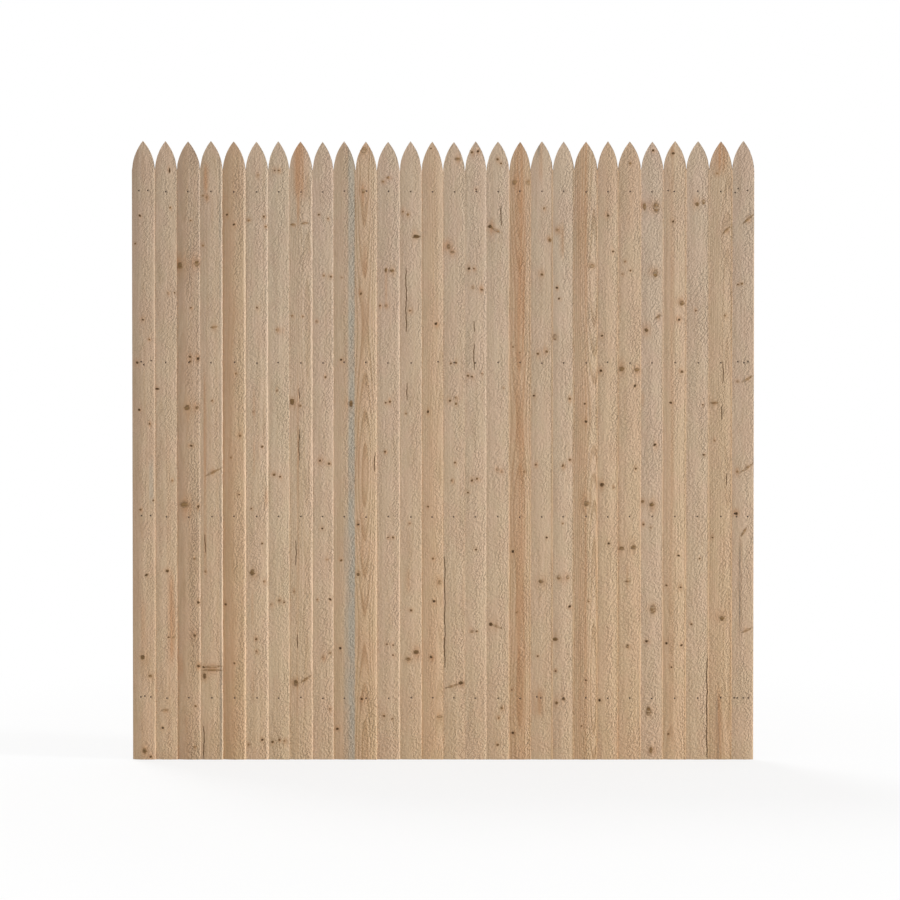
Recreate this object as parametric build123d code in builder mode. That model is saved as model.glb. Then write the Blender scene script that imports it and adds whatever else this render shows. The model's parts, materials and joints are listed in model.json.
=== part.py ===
"""Stockade fence panel of rough-sawn spruce.

Close-set pickets with gothic points and crowned faces stand side by side, backed by four rails.
Millimetres, +Z up, the faces of the pickets look towards -Y and +X is to the right of them.
The origin is the centre of the bottom rail's back, the flat face that goes against a post.
"""
import os

from build123d import *

# Pickets, listed from left to right as seen from the front
PICKET_LENGTH = 1820.0
# Sawn width, and how far each picket differs from it
PICKET_WIDTH = 65.0
PICKET_WIDTH_OFFSETS = [
    2.0, -1.0, 3.0, 0.5, 2.0, 0.5, -3.5,
    3.0, -4.0, -1.0, -2.5, 2.0, -1.0, -3.0,
    -1.0, -2.0, 1.5, -2.5, -0.5, -3.0, 3.0,
    -5.0, 2.0, 0.0, 2.0, 2.0, 2.0, -1.0,
]
# Thickness at the crest of the crown, and how far each picket differs from it, as sawn stock does
PICKET_THICKNESS = 16.0
PICKET_THICKNESS_OFFSETS = [
    0.5, 0.0, 1.0, 1.5, 1.0, 0.5, 0.0,
    -0.3, -0.6, -0.8, 0.7, -0.2, -0.7, -0.9,
    -1.4, -0.2, 1.0, 0.2, 0.0, 1.0, 1.8,
    1.0, 0.3, -0.4, 0.8, 0.0, -0.2, -0.8,
]
PICKET_GAP = 0.5
CROWN_RISE = 2.0
PICKET_EDGE_RADIUS = 3.0
POINT_HEIGHT = 90.0
# How far outside the picket's sides the arcs of the point begin, which leaves crisp shoulders
POINT_FLARE = 0.3

# Rails: the lower two are set out from the feet of the pickets, the upper two from the tips
BOTTOM_RAIL_RISE = 182.0
LOWER_MIDDLE_RAIL_RISE = 716.0
UPPER_MIDDLE_RAIL_DROP = 651.0
TOP_RAIL_DROP = 149.0
RAIL_DEPTH = 38.0
RAIL_WIDTH = 64.0
RAIL_EDGE_RADIUS = 3.0
RAIL_END_INSET = 6.0

# Sizes and places that follow from the ones above
PICKET_WIDTHS = [PICKET_WIDTH + offset for offset in PICKET_WIDTH_OFFSETS]
PICKET_THICKNESSES = [PICKET_THICKNESS + offset for offset in PICKET_THICKNESS_OFFSETS]
PANEL_WIDTH = sum(PICKET_WIDTHS) + PICKET_GAP * (len(PICKET_WIDTHS) - 1)
RAIL_LENGTH = PANEL_WIDTH - 2 * RAIL_END_INSET
FOOT_Z = -BOTTOM_RAIL_RISE
TIP_Z = FOOT_Z + PICKET_LENGTH
PICKET_BACK_Y = -RAIL_DEPTH
RAIL_CENTRES_Z = {
    "bottom_rail": FOOT_Z + BOTTOM_RAIL_RISE,
    "lower_middle_rail": FOOT_Z + LOWER_MIDDLE_RAIL_RISE,
    "upper_middle_rail": TIP_Z - UPPER_MIDDLE_RAIL_DROP,
    "top_rail": TIP_Z - TOP_RAIL_DROP,
}


def make_picket(name, width, thickness, centre_x):
    """One picket: flat back, crowned face with eased edges, and a point of two arcs."""
    half_width = width / 2
    crown_edge_y = CROWN_RISE - thickness
    foot = (centre_x, PICKET_BACK_Y, FOOT_Z)
    with BuildPart() as piece:
        with BuildSketch(Plane(origin=foot)) as section:
            with BuildLine():
                Polyline(
                    (-half_width, crown_edge_y),
                    (-half_width, 0),
                    (half_width, 0),
                    (half_width, crown_edge_y),
                )
                ThreePointArc(
                    (half_width, crown_edge_y),
                    (0, -thickness),
                    (-half_width, crown_edge_y),
                )
            make_face()
            front_corners = section.vertices().group_by(Axis.Y)[0]
            fillet(front_corners, radius=PICKET_EDGE_RADIUS)
        extrude(amount=PICKET_LENGTH)

        # The point is cut through the whole thickness by two upright arcs that meet at the tip
        arc_x = half_width + POINT_FLARE
        arc_z = PICKET_LENGTH - POINT_HEIGHT
        below_foot_z = -PICKET_LENGTH / 10
        with BuildSketch(Plane(origin=foot, x_dir=(1, 0, 0), z_dir=(0, -1, 0))):
            with BuildLine():
                Polyline(
                    (-arc_x, arc_z),
                    (-arc_x, below_foot_z),
                    (arc_x, below_foot_z),
                    (arc_x, arc_z),
                )
                TangentArc((arc_x, arc_z), (0, PICKET_LENGTH), tangent=(0, 1))
                TangentArc((-arc_x, arc_z), (0, PICKET_LENGTH), tangent=(0, 1))
            make_face()
        extrude(amount=2 * thickness, both=True, mode=Mode.INTERSECT)
    piece.part.label = name
    return piece


def make_rail(name, centre_z):
    """One rail: a sawn batten with eased long edges, its wide face against the pickets."""
    left_end = (-RAIL_LENGTH / 2, -RAIL_DEPTH / 2, centre_z)
    with BuildPart() as piece:
        with BuildSketch(Plane(origin=left_end, x_dir=(0, 1, 0), z_dir=(1, 0, 0))):
            RectangleRounded(RAIL_DEPTH, RAIL_WIDTH, RAIL_EDGE_RADIUS)
        extrude(amount=RAIL_LENGTH)
    piece.part.label = name
    return piece


os.makedirs("parts", exist_ok=True)

left_edge = -PANEL_WIDTH / 2
for number, (width, thickness) in enumerate(zip(PICKET_WIDTHS, PICKET_THICKNESSES), start=1):
    picket = make_picket(f"picket_{number:02d}", width, thickness, left_edge + width / 2)
    export_step(picket.part, f"parts/{picket.part.label}.step")
    left_edge += width + PICKET_GAP

for rail_name, rail_z in RAIL_CENTRES_Z.items():
    rail = make_rail(rail_name, rail_z)
    export_step(rail.part, f"parts/{rail.part.label}.step")
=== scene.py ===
"""Stockade fence panel of rough-sawn spruce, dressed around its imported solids.

Each picket is copied from one modelled board, fitted to its solid, given its own knots, checks and
stains, and roughened. Rails, nails, light and camera follow. Run it as a script.
"""
import json
import math

import bmesh
import bpy
import numpy as np
from bpy.props import FloatProperty, FloatVectorProperty, IntProperty, PointerProperty
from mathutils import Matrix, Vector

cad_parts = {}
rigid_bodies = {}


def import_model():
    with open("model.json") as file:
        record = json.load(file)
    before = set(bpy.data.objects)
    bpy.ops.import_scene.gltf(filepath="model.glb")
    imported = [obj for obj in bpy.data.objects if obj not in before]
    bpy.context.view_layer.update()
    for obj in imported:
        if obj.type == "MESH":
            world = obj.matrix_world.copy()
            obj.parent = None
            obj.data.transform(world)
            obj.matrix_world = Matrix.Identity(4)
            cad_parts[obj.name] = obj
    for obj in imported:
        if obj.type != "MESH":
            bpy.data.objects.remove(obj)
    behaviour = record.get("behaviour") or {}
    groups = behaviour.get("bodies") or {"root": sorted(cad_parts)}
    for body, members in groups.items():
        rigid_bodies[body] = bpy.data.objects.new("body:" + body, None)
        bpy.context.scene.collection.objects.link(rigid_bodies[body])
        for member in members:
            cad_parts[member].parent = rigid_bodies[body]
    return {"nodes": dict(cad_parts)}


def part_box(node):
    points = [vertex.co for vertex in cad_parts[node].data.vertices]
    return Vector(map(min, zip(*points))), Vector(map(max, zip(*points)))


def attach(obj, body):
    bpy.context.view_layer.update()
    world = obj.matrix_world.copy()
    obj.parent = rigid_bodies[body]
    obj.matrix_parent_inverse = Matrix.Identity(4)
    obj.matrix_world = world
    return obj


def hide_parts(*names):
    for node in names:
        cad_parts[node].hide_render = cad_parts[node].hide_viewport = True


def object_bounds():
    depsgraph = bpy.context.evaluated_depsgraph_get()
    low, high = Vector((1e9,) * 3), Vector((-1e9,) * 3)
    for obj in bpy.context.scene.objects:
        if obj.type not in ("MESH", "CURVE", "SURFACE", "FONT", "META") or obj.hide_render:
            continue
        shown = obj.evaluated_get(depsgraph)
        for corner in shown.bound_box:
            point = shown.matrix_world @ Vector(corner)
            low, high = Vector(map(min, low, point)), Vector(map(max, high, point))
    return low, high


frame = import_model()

bl_info = {
    "name": "Stockade Fence Panel",
    "version": (1, 0, 0),
    "blender": (4, 5, 0),
    "location": "View3D > Sidebar > Fence",
    "description": "Dresses a stockade fence panel with sawn pickets, rails, nails and a plain stage",
    "category": "Object",
}

CAD_BOX = [list(corner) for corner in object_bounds()]
CAD_HEIGHT = CAD_BOX[1][2] - CAD_BOX[0][2]
PICKETS = sorted(name for name in frame["nodes"] if name.startswith("picket_"))
RAILS = ["bottom_rail", "lower_middle_rail", "upper_middle_rail", "top_rail"]
FOOT_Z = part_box(PICKETS[0])[0][2]
BACK_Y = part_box(PICKETS[0])[1][1]

# Marks are listed on a front view of 900 by 900 units: x to the right, y downwards.
SHEET_SIZE = 900
SHEET_UNIT = 0.002937
SHEET_CENTRE_X = 443.0
SHEET_FOOT_Y = 760.0

# Small knots: darkness, and size beside a pin knot
SMALL_KNOTS = {"black": (1.0, 1.25), "pins": (0.75, 1.0), "faint": (0.38, 1.0)}
SPIKE_HALF_HEIGHT = 0.0030
SPIKE_DARKNESS = 0.3

# Streaks: how sharply they end at the sides
STREAK_SHARPNESS = {"brown": 2.4, "blue": 7.0, "dark": 2.4}

# What shows on each picket, from left to right.
#   black, pins, faint: small knots by how dark they are (x, y)
#   knots: larger ones (x, y, width mm, height mm, darkness)
#   spikes: long knots (x, y, x, y)
#   checks: drying cracks along the grain (x, y, y)
#   brown, blue, dark: streaks along the grain (x, y, y, width mm, strength); the dark ones are mostly painted
#       shade, standing for cracks that are not modelled and for the shaded seam at picket 4's right edge
MARKS = {
    1: dict(
        black=[(140, 215), (143, 319), (139, 409), (146, 574.5)],
        pins=[(135, 243), (149.5, 339), (149.5, 423), (153, 500), (140, 509)],
        knots=[(137, 362, 8, 7, 1.0), (142, 657, 13, 13, 0.75), (150, 676, 10, 8, 0.5),
            (144, 751, 12, 14, 0.6), (150, 757, 8, 6, 0.7)],
        brown=[(143, 604, 645, 18, 0.4)], blue=[(151, 460, 500, 12, 0.5)]),
    2: dict(
        black=[(162, 728)], pins=[(170.5, 207), (174.5, 292), (168, 637)],
        faint=[(168, 292), (172, 480), (173, 637)],
        knots=[(170, 170, 5, 16, 1.0), (167, 570.5, 10, 8, 0.8), (157, 388, 13, 6, 1.0)],
        spikes=[(161, 710.5, 167, 710)],
        brown=[(171, 575, 660, 16, 0.75), (172, 605, 655, 22, 0.6), (168, 430, 762, 10, 0.25)]),
    3: dict(
        black=[(190, 356), (198, 358), (191, 445), (198, 602), (198, 666)],
        pins=[(191, 220), (191, 307), (190, 361), (194, 635), (195, 706)], faint=[(194, 558), (194, 747)],
        knots=[(180, 265, 15, 18, 0.6), (197, 263, 13, 17, 0.5), (187, 407, 16, 14, 0.65),
            (197, 407, 9, 9, 0.6), (184, 504, 25, 17, 0.4), (198, 506, 7, 9, 0.8)],
        brown=[(180, 656, 675, 16, 0.6), (184, 138, 762, 34, 0.16)]),
    4: dict(
        black=[(203, 667)], faint=[(203, 195), (207, 197), (203, 245), (212, 400), (205, 571)],
        knots=[(204, 676, 9, 16, 0.7)],
        spikes=[(211, 327, 217, 326), (206, 475, 220, 468), (203, 667, 221, 666), (203, 670, 221, 670)],
        checks=[(204.6, 534, 552), (203, 726, 760)],
        brown=[(206, 164, 192, 16, 0.8), (211, 665, 672, 45, 0.8), (204.6, 375, 565, 7, 1.0)],
        # The dark lines along the right edge are painted shade of the seam
        dark=[(220.6, 150, 762, 6, 0.45), (220.6, 205, 248, 7, 0.5), (220.6, 672, 762, 8, 0.6)]),
    5: dict(
        black=[(227, 214), (234, 224)], pins=[(240, 435), (239, 494), (225, 604), (234, 663)],
        faint=[(236, 373), (231, 457)], brown=[(229, 134, 766, 36, 0.3), (233, 600, 766, 20, 0.2)]),
    6: dict(
        black=[(262, 740)], pins=[(264, 216), (257, 307), (262, 446), (251, 508), (262, 543), (256, 639)],
        faint=[(258, 175), (249, 220), (266, 226), (253, 411), (264, 581), (256, 651), (248, 745)],
        knots=[(252, 572, 14, 17, 0.55)],
        brown=[(266, 488, 506, 12, 0.6), (254, 388, 420, 7, 0.45), (254, 440, 475, 7, 0.4),
            (252, 590, 625, 7, 0.45), (252, 672, 700, 7, 0.5)]),
    7: dict(
        pins=[(275, 170), (279, 170), (274, 474), (280, 476), (284, 602), (272, 742), (279, 740)],
        faint=[(277, 329), (277, 390), (279, 600), (271, 604), (284, 741)],
        brown=[(277.5, 168, 172, 30, 0.7), (281, 328, 332, 26, 0.6)]),
    8: dict(
        faint=[(292, 315), (303, 316), (294, 591)],
        knots=[(292, 401, 13, 20, 0.75), (300, 405, 8, 6, 0.4), (295.5, 683, 13, 18, 0.6)],
        spikes=[(291, 224, 295, 224), (302, 223, 308, 222.5), (301, 682, 310, 676)],
        checks=[(299, 388, 398), (299, 429, 460), (295.5, 540, 565), (297, 634, 648)],
        brown=[(300, 134, 196, 36, 0.85), (300, 134, 190, 24, 0.8), (298.5, 140, 222, 10, 0.9),
            (298, 385, 570, 4, 0.8), (297, 570, 760, 4, 0.5)]),
    9: dict(
        black=[(322, 528), (330, 599)],
        pins=[(319, 214), (331, 276), (325.5, 376.5), (320, 460), (329, 463)],
        faint=[(328, 218), (324, 275), (317, 321), (327, 559), (317, 599), (323, 657), (330, 653),
            (330, 709)]),
    10: dict(
        black=[(341, 359), (337, 729)], pins=[(341, 560)], faint=[(342, 277)],
        knots=[(351, 403, 10, 18, 0.7), (340, 648, 8, 7, 1.0)],
        blue=[(351.4, 134, 766, 20, 0.85), (349.5, 520, 766, 34, 0.5)]),
    11: dict(
        black=[(358, 524)], pins=[(361, 293)],
        knots=[(358, 574, 9, 9, 0.7), (361.5, 699, 7, 7, 1.0), (364, 150, 15, 17, 0.25),
            (363.5, 190.5, 10, 12, 0.4)],
        checks=[(374.5, 452, 471)],
        brown=[(364, 134, 766, 30, 0.3), (365, 244, 275, 9, 0.6), (363, 186, 206, 8, 0.7),
            (358, 380, 470, 6, 0.5), (362, 470, 560, 5, 0.4)]),
    12: dict(
        pins=[(380, 305), (385.6, 402), (390, 401), (385, 451), (388, 537), (393, 537), (387, 644),
            (393, 645), (393, 655), (384, 716), (392, 719)],
        faint=[(388, 177), (383, 181), (386, 305)],
        knots=[(386, 269.5, 8, 13, 0.5), (392, 270, 13, 8, 0.5)], brown=[(386, 270, 300, 7, 0.6)]),
    13: dict(
        pins=[(411, 610)], faint=[(403, 211), (408, 214), (410, 310), (406, 413), (410, 523)],
        knots=[(416, 652, 17, 12, 0.7), (408, 659, 14, 9, 0.5), (416.5, 236, 21, 10, 0.8)],
        checks=[(406, 267, 331), (407, 382, 400)], brown=[(408, 568, 592, 14, 0.5)]),
    14: dict(
        black=[(436, 323), (434, 601), (431, 657)], pins=[(431, 148), (428, 506), (433, 558)],
        knots=[(428, 411, 7, 7, 1.0), (440, 582, 9, 11, 0.4)], spikes=[(437, 717, 442, 716.5)],
        brown=[(432, 140, 762, 40, 0.2)]),
    15: dict(
        pins=[(451, 363), (456, 362), (450, 400), (455, 462)], faint=[(456, 397), (456, 403), (452, 480)],
        knots=[(461, 683, 14, 10, 0.9), (457.5, 158.5, 14, 9, 0.45), (448.5, 246, 10, 13, 0.5),
            (452.5, 251.5, 12, 8, 0.5)],
        spikes=[(446, 688, 459, 684)], checks=[(444.6, 556, 668)]),
    16: dict(
        black=[(478, 151), (469, 268)],
        pins=[(472, 152), (476, 189), (474, 268), (482, 289), (468, 375), (472, 376), (472, 480),
            (477, 478), (468, 492), (476, 549), (477, 631)],
        faint=[(473, 287), (482, 373), (472, 631)], checks=[(474, 320, 331), (474, 343, 369)]),
    17: dict(
        pins=[(497.5, 159), (501, 163), (498, 745)],
        faint=[(503.5, 387), (497.5, 469), (502, 471), (502, 708), (499, 718)],
        knots=[(490, 226, 12, 10, 0.9), (491, 624, 12, 10, 0.9)],
        spikes=[(491, 227, 500, 232), (492, 624, 502, 628)], checks=[(501, 205, 225)]),
    18: dict(
        black=[(513, 551), (513, 733)], pins=[(512, 690)],
        faint=[(513, 346), (520, 352), (524.5, 471), (517, 612)],
        knots=[(514.5, 182, 14, 12, 0.25), (528, 182, 9, 12, 0.25)],
        brown=[(519, 134, 330, 52, 0.35), (517, 134, 766, 56, 0.42), (521, 134, 766, 20, 0.8),
            (517.5, 150, 766, 4, 0.6), (521, 425, 452, 16, 0.7)]),
    19: dict(
        black=[(534, 395), (547, 537)], pins=[(542, 274), (538, 353), (547, 351), (536, 464), (538, 656)],
        faint=[(544, 208)], knots=[(541, 581, 13, 12, 0.55), (550, 239.5, 9, 10, 0.6)],
        brown=[(539, 690, 716, 30, 0.7), (541, 140, 180, 14, 0.4)], dark=[(538.5, 140, 156, 8, 0.6)]),
    20: dict(
        black=[(557, 287), (570, 606)], pins=[(559, 298), (570, 398), (570, 459), (563, 465), (556, 671)],
        faint=[(557, 229), (563, 523)],
        knots=[(564, 699, 10, 8, 0.6), (557, 703, 9, 8, 0.6), (555.5, 639, 15, 9, 0.6),
            (559, 577, 10, 13, 0.35), (568, 577, 8, 10, 0.35), (555, 336.5, 10, 17, 0.35)],
        brown=[(562, 224, 256, 14, 0.7)]),
    21: dict(
        black=[(586, 421)], pins=[(585, 403), (586, 680), (582, 726)], faint=[(589, 601)],
        knots=[(587, 503, 15, 15, 0.4), (592, 265.5, 16, 10, 0.25)],
        brown=[(582, 134, 250, 40, 0.35), (581, 134, 766, 26, 0.4), (586, 134, 766, 7, 0.6)]),
    22: dict(
        black=[(602, 335), (601, 370), (609, 543)], pins=[(608, 215), (613, 251)], faint=[(614, 487)],
        knots=[(602, 484, 12, 11, 0.9), (600, 700, 8, 8, 1.0)], brown=[(608, 134, 210, 60, 0.2)]),
    23: dict(
        black=[(635, 385)], pins=[(630.5, 270), (636, 468)], faint=[(630, 163), (625, 261), (622.5, 273)],
        knots=[(622, 368, 16, 12, 0.5), (637, 369, 14, 11, 0.5), (622, 548, 15, 11, 0.55),
            (634, 547, 16, 12, 0.5), (628, 646, 9, 10, 0.5)],
        spikes=[(626, 581, 630, 580.5)], brown=[(629, 134, 230, 60, 0.22), (627.5, 566, 590, 6, 0.8)],
        dark=[(639.2, 655, 766, 3, 0.6)]),
    24: dict(
        black=[(653, 150), (655, 444), (647, 641)], pins=[(644, 524)], faint=[(651, 527)],
        knots=[(652, 504, 15, 11, 0.55), (643, 501, 9, 8, 0.6), (656, 207, 17, 27, 0.3),
            (655.5, 273, 14, 21, 0.45), (653.5, 609, 15, 25, 0.35), (649, 711, 14, 24, 0.4),
            (651.5, 750, 9, 20, 0.4), (646.5, 329.5, 11, 10, 0.7), (644.5, 206, 9, 20, 0.35)],
        spikes=[(655, 318, 661, 314)], brown=[(643, 392, 406, 10, 0.5)]),
    25: dict(
        black=[(673, 153), (679, 319), (671, 402), (679, 555), (682, 645)],
        pins=[(673, 221), (682, 371), (667, 585), (681, 587), (672, 667), (669, 734)],
        knots=[(667, 643, 7, 7, 1.0), (682, 302.5, 13, 14, 0.5)],
        brown=[(672, 134, 766, 12, 0.45), (668, 134, 766, 22, 0.15)]),
    26: dict(
        pins=[(696, 310), (703, 404), (704, 454), (700, 558), (692, 624)],
        knots=[(697, 203.5, 12, 10, 0.5), (703.5, 201.5, 9, 14, 0.35)], checks=[(707.4, 658, 760)]),
    27: dict(
        pins=[(713, 537)], faint=[(717, 173), (725, 315), (715, 440)], knots=[(722.5, 618, 14, 14, 0.45)],
        spikes=[(723, 233, 730, 226), (711, 402.5, 718, 402)],
        checks=[(723, 361, 383), (722, 405, 419), (727, 473, 485)],
        brown=[(721, 134, 172, 40, 0.75), (721, 134, 165, 20, 0.7), (719.5, 690, 766, 16, 0.85)],
        # The dark lines are the painted shade of a crack
        dark=[(717.2, 696, 728, 3.6, 0.8), (718.6, 724, 766, 3.6, 0.8)]),
    28: dict(
        black=[(737, 513)], pins=[(738, 284)], faint=[(738, 381), (738, 471), (742, 283)],
        spikes=[(743, 223, 753, 214), (743, 381, 753, 375), (742, 471, 753, 463), (742, 535, 747, 527),
            (743, 632, 752, 628)],
        # A crack drawn only in colour: a brown streak and a dark line of painted shade
        brown=[(740.5, 540, 632, 8, 0.6)], dark=[(740.6, 546, 630, 3.4, 0.9)]),
}

# The wood each picket is cut from, and how light it is
STOCK = {
    1: ("rose", -0.3), 2: ("pale", -0.1), 3: ("rose", -0.5), 4: ("pale", -0.2), 5: ("honey", -0.3),
    6: ("pale", 0.1), 7: ("grey", 0.25), 8: ("pale", 0.1), 9: ("rose", 0.25), 10: ("pale", -0.3),
    11: ("honey", 0.6), 12: ("rose", 0.2), 13: ("pale", 0.1), 14: ("honey", 0.5), 15: ("pale", 0.15),
    16: ("pale", 0.4), 17: ("pale", 0.3), 18: ("honey", 0.6), 19: ("pale", 0.2), 20: ("pale", 0.5),
    21: ("honey", 0.8), 22: ("honey", 0.7), 23: ("honey", 0.65), 24: ("rose", 0.6), 25: ("honey", 1.0),
    26: ("pale", 0.4), 27: ("honey", 0.4), 28: ("rose", 0.3),
}

# Pickets with a rougher or smoother face than most, and how rough their left half is beside the right
ROUGHNESS = {1: 0.7, 3: 1.35, 4: 0.7, 13: 0.7, 14: 0.7, 19: 0.7, 21: 1.15, 22: 1.1, 23: 1.15, 26: 1.15}
LEFT_ROUGHNESS = {
    3: 0.2, 5: 0.2, 10: 0.25, 6: 0.85, 16: 0.9, 21: 0.75, 22: 0.8, 23: 0.8, 24: 0.9, 26: 0.8}
PLAIN_LEFT_ROUGHNESS = 0.66
RAIL_ROUGHNESS = 0.6

# Pickets whose left half falls away further than most, in metres
LEFT_FALL = {
    1: 0.0042, 2: 0.0012, 3: 0.003, 4: 0.0006, 5: 0.0034, 14: 0.0012, 20: 0.0008, 21: 0.001, 22: 0.0008,
    23: 0.0008, 25: 0.0016}

# Painted light on a picket's right edge: how much paler it is than its face (a painted highlight where the
# edge catches the light) or, below nothing, how much darker (painted shade)
PAINTED_EDGE_LIGHT = {
    1: 0.3, 2: 0.1, 3: 0.9, 4: 1.3, 5: 2.2, 6: 1.8, 7: 0.3, 8: 0.8, 9: 0.9, 10: -0.8, 11: 1.6, 12: 0.7,
    13: 0.3, 16: 0.9, 17: -0.5, 18: -0.8, 19: -1.5, 20: -1.5, 21: -1.0, 22: -1.0, 23: -0.7, 24: -1.0,
    25: -1.3, 26: -1.2, 27: -1.2}

# How strongly the growth rings show on the pickets where they show most
FIGURE = {8: 0.2, 11: 0.5, 14: 0.22, 18: 0.45, 21: 0.5, 25: 0.28, 27: 0.25}
PLAIN_FIGURE = 0.09

# Nails that aren't the usual single one in the picket's middle: (rail, picket): places (x, y)
NAIL_SPOTS = {
    ("top_rail", 1): [(139, 190), (148, 190)],
    ("upper_middle_rail", 1): [(141, 361), (143.5, 364), (151, 360)],
    ("lower_middle_rail", 1): [(141, 515), (150, 515)],
    ("bottom_rail", 1): [(140, 697), (144, 696), (150, 697)],
    ("upper_middle_rail", 14): [(438, 361)],
    ("bottom_rail", 19): [(537, 697), (541, 698)],
    ("top_rail", 25): [(668, 190), (674, 191)],
    ("top_rail", 28): [(735, 192), (738, 188), (747, 190)],
    ("upper_middle_rail", 28): [(738, 361), (744, 362), (748, 361)],
    ("lower_middle_rail", 28): [(735, 513), (737, 516), (748, 516)],
    ("bottom_rail", 28): [(735, 698), (738, 698), (744, 698), (749, 698)],
}
NAIL_STRAY = 0.0015

# Depth of a picket's face with its edges, and the depths between which marks fade out, in metres
FACE_DEPTH = 0.0085
MARK_DEPTHS = (0.006, 0.003)

# Bands at a picket's sides: the right edge with its painted highlight and shade, the straight side and the
# part that follows a seam
PAINTED_EDGE_BAND = (0.005, 0.0025)
SIDE_BAND = 0.0004
SEAM_REACH = 0.010
SEAM_WAVE = 0.11

# How close to a place a vertex is picked, in metres
NEAR = 1e-5


def length_property(name, description, default):
    return FloatProperty(name=name, description=description, default=default, unit="LENGTH")


def colour_property(name, description, default):
    return FloatVectorProperty(
        name=name, description=description, default=default, subtype="COLOR", size=3)


class FencePanelSizes(bpy.types.PropertyGroup):
    """Sizes of the sawn surface, the marks in it and the nails"""

    face_columns: IntProperty(
        name="Face Columns", description="Columns of faces across a picket's front", default=22, min=10)
    row_length: length_property("Row Length", "Length of a face along a picket", 0.0072)
    crown_rise: length_property("Crown Rise", "How far the middle of a picket's face stands out", 0.002)
    back_ease: length_property("Back Ease", "Worn width of a picket's back edges", 0.0009)
    edge_radius: length_property("Edge Radius", "Rounding of a picket's right front edge", 0.0030)
    left_radius: length_property("Left Radius", "Rounding of the front edge that is tucked back", 0.0009)
    lean: length_property("Lean", "How far a picket's left edge lies behind its right one", 0.0022)
    point_height: length_property("Point Height", "Height of the gothic point", 0.090)
    wander: length_property("Wander", "How far sawn faces and edges wander", 0.0011)
    seam_wander: length_property("Seam Wander", "How far the seams between pickets wander sideways", 0.004)
    tear: length_property("Tear", "Depth of the torn, fuzzy grain", 0.0007)
    knot_rise: length_property("Knot Rise", "How far a knot stands out of the dried wood", 0.0006)
    check_depth: length_property("Check Depth", "Depth of a drying crack", 0.0016)
    check_width: length_property("Check Width", "Width of a drying crack at the face", 0.0034)
    pin_width: length_property("Pin Knot Width", "Width of a small knot", 0.0064)
    nail_width: length_property("Nail Width", "Width of a nail's head", 0.0042)
    nail_sink: length_property("Nail Sink", "How deep a nail is driven below the face", 0.0012)


class FencePanelColours(bpy.types.PropertyGroup):
    """Colours of the wood, its stains and its nails"""

    pale: colour_property("Pale Sapwood", "Plain spruce", (0.56, 0.415, 0.28))
    rose: colour_property("Rosy Sapwood", "Spruce with a pink cast", (0.545, 0.402, 0.275))
    honey: colour_property("Honey Wood", "Warmer, yellower spruce", (0.555, 0.395, 0.25))
    grey: colour_property("Greyed Wood", "Spruce that has started to grey", (0.545, 0.412, 0.278))
    brown: colour_property("Heartwood", "Brown heart streaks and resin", (0.44, 0.22, 0.10))
    # The blue stain, knot and dead knot colours are also mixed into the painted shade of the checks and of
    # the dark lines
    blue: colour_property("Blue Stain", "Blue-grey sapwood stain", (0.375, 0.335, 0.27))
    knot: colour_property("Knot", "Sound knot", (0.325, 0.19, 0.078))
    dead_knot: colour_property("Dead Knot", "Dark ring and core of a knot", (0.065, 0.034, 0.013))
    nail: colour_property("Nail", "Dull steel", (0.07, 0.05, 0.035))


def sizes():
    return bpy.context.scene.fence_panel_sizes


def colours():
    return bpy.context.scene.fence_panel_colours


# Selecting and finishing

def deselect_all():
    if bpy.context.object and bpy.context.object.mode != "OBJECT":
        bpy.ops.object.mode_set(mode="OBJECT")
    bpy.ops.object.select_all(action="DESELECT")


def make_active(piece):
    deselect_all()
    piece.select_set(True)
    bpy.context.view_layer.objects.active = piece


def edit(piece, mode):
    """Enter edit mode in vertex, edge or face selection with nothing selected."""
    make_active(piece)
    bpy.ops.object.mode_set(mode="EDIT")
    bpy.ops.mesh.select_mode(type=mode)
    bpy.ops.mesh.select_all(action="DESELECT")


def choose(piece, kind, wanted):
    """Select the edges or faces for which wanted is true."""
    bm = bmesh.from_edit_mesh(piece.data)
    for element in getattr(bm, kind):
        element.select_set(wanted(element))
    bmesh.update_edit_mesh(piece.data)


def pick(piece, kind, wanted):
    """Select the vertices or edges that lie, with all their ends, where wanted is true."""
    choose(piece, kind, lambda element: all(
        wanted(corner.co) for corner in ([element] if kind == "verts" else element.verts)))


def apply_place(piece):
    make_active(piece)
    bpy.ops.object.transform_apply(location=True, rotation=True, scale=True)


def copy_of(piece, name):
    """A copy with its own mesh."""
    make_active(piece)
    bpy.ops.object.duplicate(linked=False)
    copy = bpy.context.object
    copy.name = name
    copy.data.name = name
    return copy


def read(items, key, kind=float, width=1):
    """One value, or a row of them, from each vertex, face or corner of a mesh."""
    found = np.empty(len(items) * width, kind)
    items.foreach_get(key, found)
    return found.reshape(-1, width) if width > 1 else found


def smooth_step(low, high, value):
    share = np.clip((value - low) / (high - low), 0.0, 1.0)
    return share * share * (3 - 2 * share)


def half(millimetres):
    """Half of a width in millimetres, in metres."""
    return millimetres / 2000


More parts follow.
